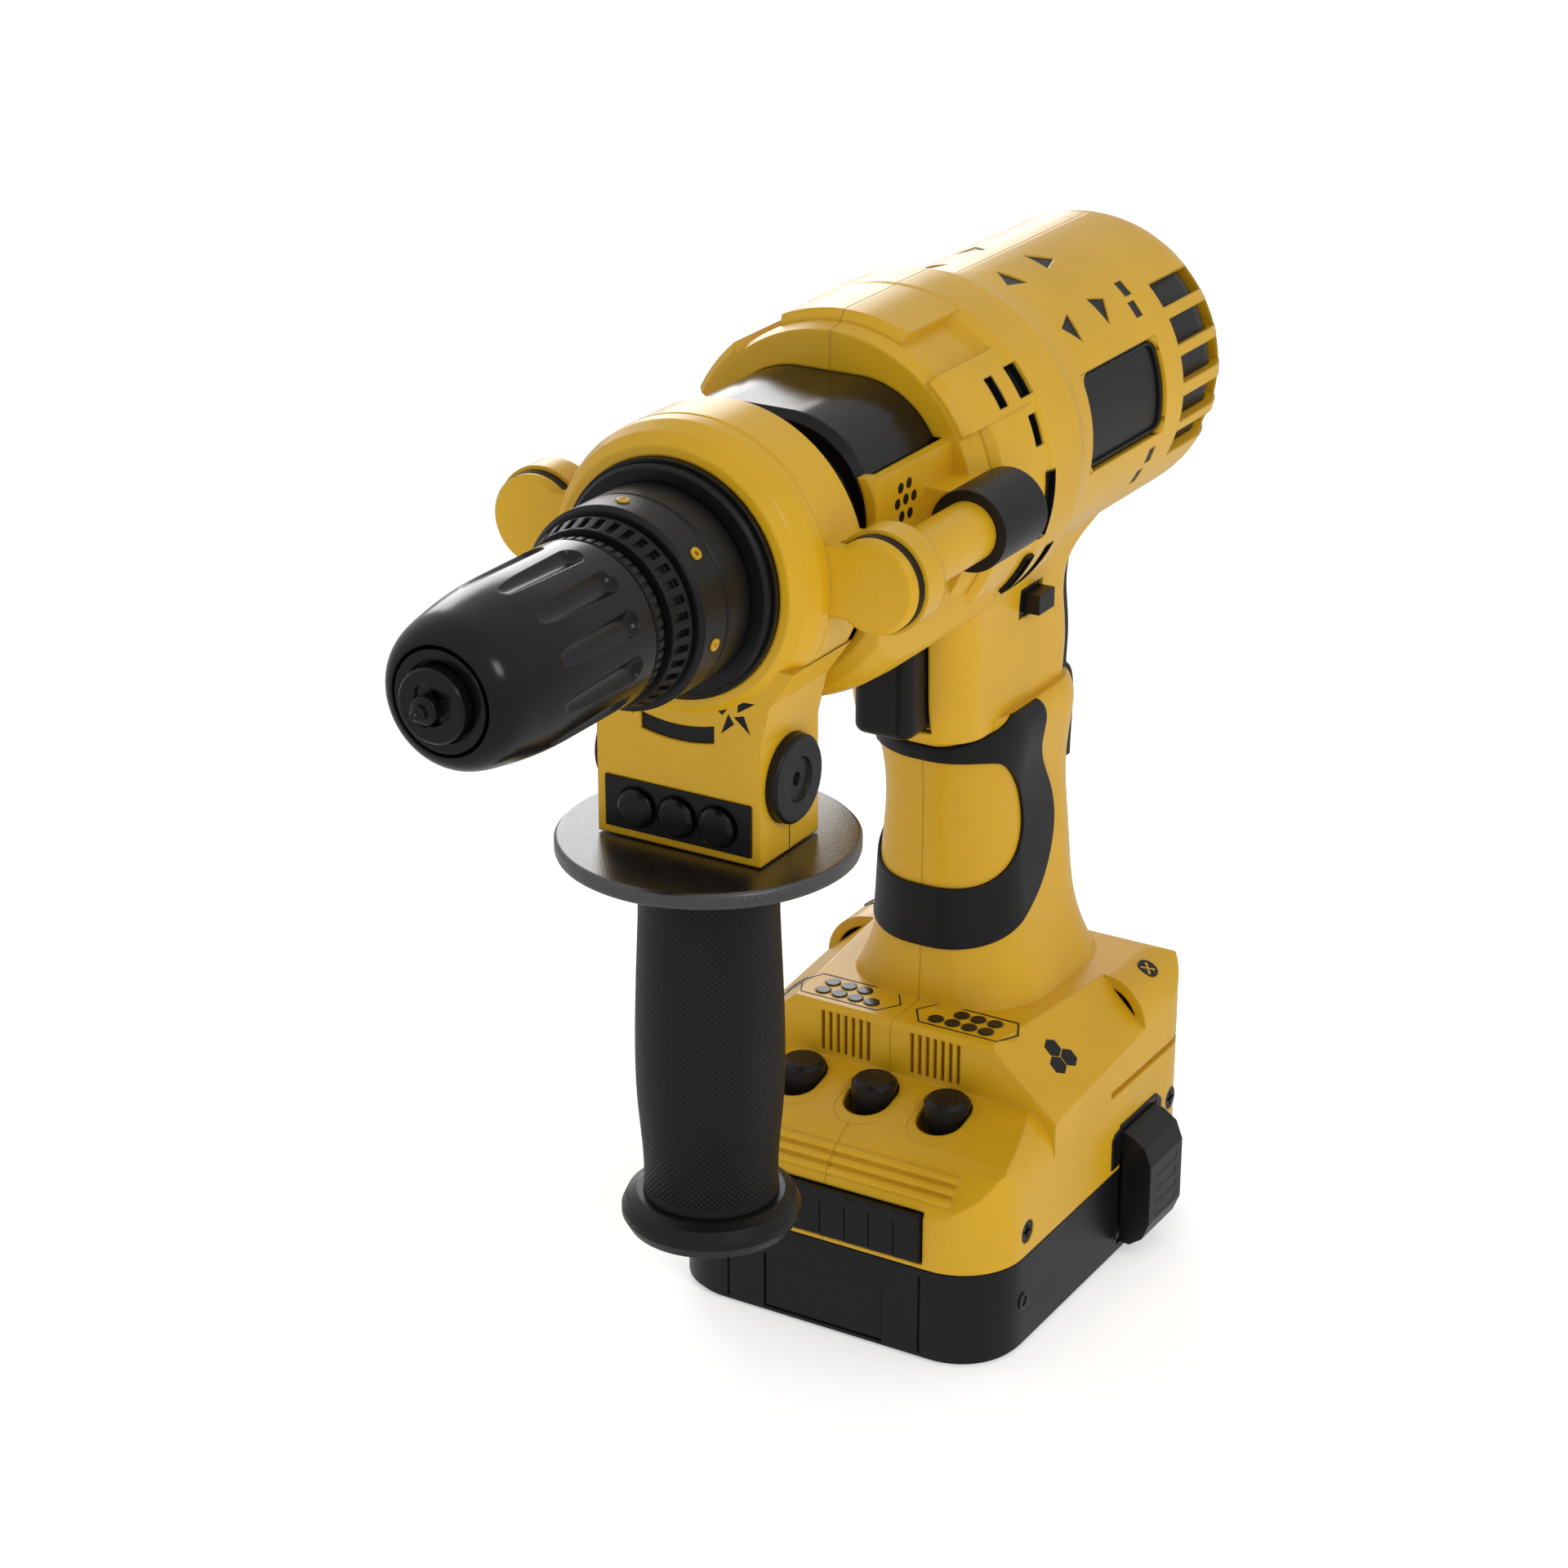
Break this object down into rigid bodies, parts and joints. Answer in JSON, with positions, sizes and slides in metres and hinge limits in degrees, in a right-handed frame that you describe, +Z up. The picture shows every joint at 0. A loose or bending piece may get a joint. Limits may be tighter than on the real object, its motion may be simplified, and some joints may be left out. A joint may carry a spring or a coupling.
{
  "type": "toy power drill",
  "caption": "Toy pistol-grip power drill with a front auxiliary handle, keyless chuck, turning collars, control knobs and a plug-in battery pack.",
  "frame": {"origin": "centre of the battery pack's flat underside", "axes": "+Z up, the chuck points along -Y, +X is the side where the handle screws enter"},
  "size_m": [0.0964, 0.271, 0.2273],
  "materials": {
    "yellow_plastic": "moulded ABS, fine satin texture",
    "black_plastic": "moulded plastic, satin",
    "gloss_black": "polished moulded plastic",
    "black_rubber": "soft overmoulding, matt",
    "inner_plastic": "natural moulded nylon",
    "steel": "plain turned steel",
    "black_steel": "blackened steel screw heads",
    "cell_wrap": "steel cell cans in a printed-free shrink sleeve",
    "brass": "plain brass",
    "board": "green circuit board laminate"
  },
  "bodies": {
    "battery_pack": {"battery_case": "black_plastic", "battery_top": "black_plastic", "battery_cells": "cell_wrap", "battery_contacts": "brass", "battery_screws": "black_steel"},
    "drill": {"housing_left": "yellow_plastic", "housing_right": "yellow_plastic", "gear_case": "gloss_black", "washer_plate": "black_plastic", "window_panels": "black_plastic", "dust_screens": "black_plastic", "rod_sockets": "black_plastic", "grip_overmould": "black_rubber", "rear_grip_pad": "black_rubber", "motor_can": "steel", "motor_mount": "inner_plastic", "bushes": "brass", "gear_axle": "steel", "switch_module": "black_plastic", "trigger_spring": "steel", "control_board": "board", "housing_screws": "black_steel", "deck_discs": "gloss_black", "louvre_insert": "black_plastic"},
    "chuck": {"spindle": "steel", "output_gear": "inner_plastic", "chuck_body": "gloss_black", "chuck_rear_ring": "black_plastic", "driver_bit": "gloss_black"},
    "sleeve": {"chuck_sleeve": "gloss_black"},
    "jaw_1": {"chuck_jaw_1": "steel"},
    "jaw_2": {"chuck_jaw_2": "steel"},
    "jaw_3": {"chuck_jaw_3": "steel"},
    "mode_ring": {"mode_collar": "black_plastic", "mode_markers": "yellow_plastic"},
    "torque_ring": {"torque_collar": "black_plastic"},
    "lay_gear": {"compound_gear": "inner_plastic"},
    "rotor": {"motor_rotor": "steel", "motor_pinion": "inner_plastic", "cooling_fan": "inner_plastic"},
    "trigger": {"trigger": "black_plastic"},
    "direction_switch": {"direction_slider": "black_plastic"},
    "knob_a": {"knob_left": "black_plastic"},
    "knob_b": {"knob_middle": "black_plastic"},
    "knob_c": {"knob_right": "black_plastic"},
    "latch": {"front_latch": "black_plastic"},
    "clip_left": {"side_clip_left": "black_plastic"},
    "clip_right": {"side_clip_right": "black_plastic"},
    "front_handle": {"clamp_ring": "yellow_plastic", "clamp_panel": "black_plastic", "clamp_bolts": "black_plastic", "guide_rods": "yellow_plastic", "rod_gaskets": "black_rubber"},
    "aux_grip": {"side_grip": "black_rubber", "guard_flange": "gloss_black", "end_flange": "black_plastic", "handle_stud": "steel"},
    "button_1": {"clamp_button_1": "gloss_black"},
    "button_2": {"clamp_button_2": "gloss_black"},
    "button_3": {"clamp_button_3": "gloss_black"}
  },
  "joints": [
    {"name": "battery_release", "type": "slide", "parent": "battery_pack", "child": "drill", "axis": [0, 0, 1], "range_m": [0, 0.035]},
    {"name": "chuck_spin", "type": "hinge", "parent": "drill", "child": "chuck", "pos_m": [0, -0.1, 0.19065], "axis": [0, 1, 0], "continuous": true},
    {"name": "sleeve_turn", "type": "hinge", "parent": "chuck", "child": "sleeve", "pos_m": [0, -0.158, 0.19065], "axis": [0, 1, 0], "range_deg": [0, 150]},
    {"name": "mode_turn", "type": "hinge", "parent": "drill", "child": "mode_ring", "pos_m": [0, -0.119, 0.19065], "axis": [0, 1, 0], "range_deg": [-60, 60]},
    {"name": "torque_turn", "type": "hinge", "parent": "drill", "child": "torque_ring", "pos_m": [0, -0.1306, 0.19065], "axis": [0, 1, 0], "range_deg": [-135, 135]},
    {"name": "lay_gear_spin", "type": "hinge", "parent": "drill", "child": "lay_gear", "pos_m": [0, -0.05, 0.17805], "axis": [0, 1, 0], "continuous": true},
    {"name": "rotor_spin", "type": "hinge", "parent": "drill", "child": "rotor", "pos_m": [0, 0, 0.19065], "axis": [0, 1, 0], "continuous": true},
    {"name": "trigger_pull", "type": "slide", "parent": "drill", "child": "trigger", "axis": [0, 1, 0], "range_m": [0, 0.006], "stiffness_N_per_m": 150, "springref_m": -0.008, "deforming": ["trigger_spring"]},
    {"name": "direction_slide", "type": "slide", "parent": "drill", "child": "direction_switch", "axis": [1, 0, 0], "range_m": [-0.004, 0]},
    {"name": "latch_press", "type": "slide", "parent": "drill", "child": "latch", "axis": [0, 1, 0], "range_m": [0, 0.002], "stiffness_N_per_m": 60, "springref_m": -0.004},
    {"name": "clip_left_swing", "type": "hinge", "parent": "drill", "child": "clip_left", "pos_m": [-0.0392, 0.02, 0.0296], "axis": [0, 1, 0], "range_deg": [0, 8], "stiffness_Nm_per_rad": 0.02, "springref_deg": -17.19},
    {"name": "clip_right_swing", "type": "hinge", "parent": "drill", "child": "clip_right", "pos_m": [0.0392, 0.02, 0.0296], "axis": [0, -1, 0], "range_deg": [0, 8], "stiffness_Nm_per_rad": 0.02, "springref_deg": -17.19},
    {"name": "handle_slide", "type": "slide", "parent": "drill", "child": "front_handle", "axis": [0, -1, 0], "range_m": [0, 0.008]},
    {"name": "grip_turn", "type": "hinge", "parent": "front_handle", "child": "aux_grip", "pos_m": [0, -0.09524, 0.14], "axis": [0, 0, 1], "range_deg": [-180, 180]},
    {"name": "jaw_1_slide", "type": "slide", "parent": "chuck", "child": "jaw_1", "axis": [0.2419, 0.9703, 0], "range_m": [0, 0.003]},
    {"name": "jaw_2_slide", "type": "slide", "parent": "chuck", "child": "jaw_2", "axis": [-0.121, 0.9703, -0.2095], "range_m": [0, 0.003]},
    {"name": "jaw_3_slide", "type": "slide", "parent": "chuck", "child": "jaw_3", "axis": [-0.121, 0.9703, 0.2095], "range_m": [0, 0.003]},
    {"name": "knob_a_turn", "type": "hinge", "parent": "drill", "child": "knob_a", "pos_m": [-0.018, -0.0283, 0.045], "axis": [0, 0, 1], "range_deg": [-135, 135]},
    {"name": "knob_b_turn", "type": "hinge", "parent": "drill", "child": "knob_b", "pos_m": [0, -0.0283, 0.045], "axis": [0, 0, 1], "range_deg": [-135, 135]},
    {"name": "knob_c_turn", "type": "hinge", "parent": "drill", "child": "knob_c", "pos_m": [0.018, -0.0283, 0.045], "axis": [0, 0, 1], "range_deg": [-135, 135]},
    {"name": "button_1_press", "type": "slide", "parent": "front_handle", "child": "button_1", "axis": [0, 1, 0], "range_m": [0, 0.0012], "stiffness_N_per_m": 12, "springref_m": -0.004},
    {"name": "button_2_press", "type": "slide", "parent": "front_handle", "child": "button_2", "axis": [0, 1, 0], "range_m": [0, 0.0012], "stiffness_N_per_m": 12, "springref_m": -0.004},
    {"name": "button_3_press", "type": "slide", "parent": "front_handle", "child": "button_3", "axis": [0, 1, 0], "range_m": [0, 0.0012], "stiffness_N_per_m": 12, "springref_m": -0.004}
  ],
  "couplings": [
    {"joint": "lay_gear_spin", "follows": "chuck_spin", "ratio": -2},
    {"joint": "rotor_spin", "follows": "chuck_spin", "ratio": 5.2},
    {"joint": "jaw_1_slide", "follows": "sleeve_turn", "m_per_rad": 0.0011077},
    {"joint": "jaw_2_slide", "follows": "sleeve_turn", "m_per_rad": 0.0011077},
    {"joint": "jaw_3_slide", "follows": "sleeve_turn", "m_per_rad": 0.0011077}
  ]
}
